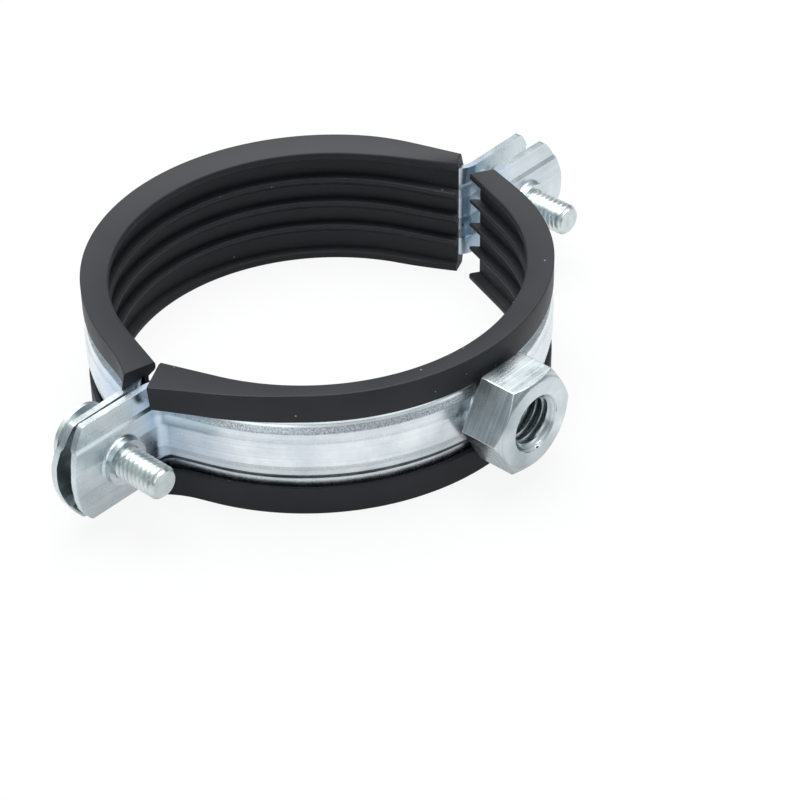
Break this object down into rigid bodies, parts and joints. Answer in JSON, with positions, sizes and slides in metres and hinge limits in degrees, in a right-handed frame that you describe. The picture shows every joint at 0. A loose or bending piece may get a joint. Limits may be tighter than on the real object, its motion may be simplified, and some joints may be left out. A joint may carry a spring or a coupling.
{
  "type": "rubber lined pipe clamp",
  "caption": "Split steel pipe clamp with bolted ears, ribbed rubber lining, clamp screws and a welded threaded nut for a hanger bolt.",
  "frame": {"origin": "centre of the nut half's pipe seat, at mid-width", "axes": "+Z along the pipe, the ears and screws along X, the connecting nut points to -Y, the cap half is at +Y"},
  "size_m": [0.1253, 0.0903, 0.0247],
  "materials": {
    "zinc_plated_steel": "bright blue-white zinc plating on rolled strip",
    "zinc_plated_nut": "zinc plated, worn corners",
    "zinc_plated_screw": "bright zinc plating",
    "epdm_rubber": "matt extruded black rubber"
  },
  "bodies": {
    "nut_half": {"nut_half_band": "zinc_plated_steel", "nut_half_lining": "epdm_rubber", "connecting_nut": "zinc_plated_nut"},
    "cap_half": {"cap_half_band": "zinc_plated_steel", "cap_half_lining": "epdm_rubber"},
    "left_screw": {"left_clamp_screw": "zinc_plated_screw"},
    "right_screw": {"right_clamp_screw": "zinc_plated_screw"}
  },
  "joints": [
    {"name": "cap_swing", "type": "hinge", "parent": "nut_half", "child": "cap_half", "pos_m": [-0.0626, -0.00375, 0], "axis": [0, 0, 1], "range_deg": [-1.85, 4.25]},
    {"name": "right_screw_travel", "type": "slide", "parent": "nut_half", "child": "right_screw", "axis": [0, 1, 0], "range_m": [-0.004, 0.0093]},
    {"name": "left_screw_travel", "type": "slide", "parent": "nut_half", "child": "left_screw", "axis": [0, 1, 0], "range_m": [-0.0022, 0.009]}
  ],
  "couplings": [
    {"joint": "right_screw_travel", "follows": "cap_swing", "m_per_rad": 0.1208}
  ]
}
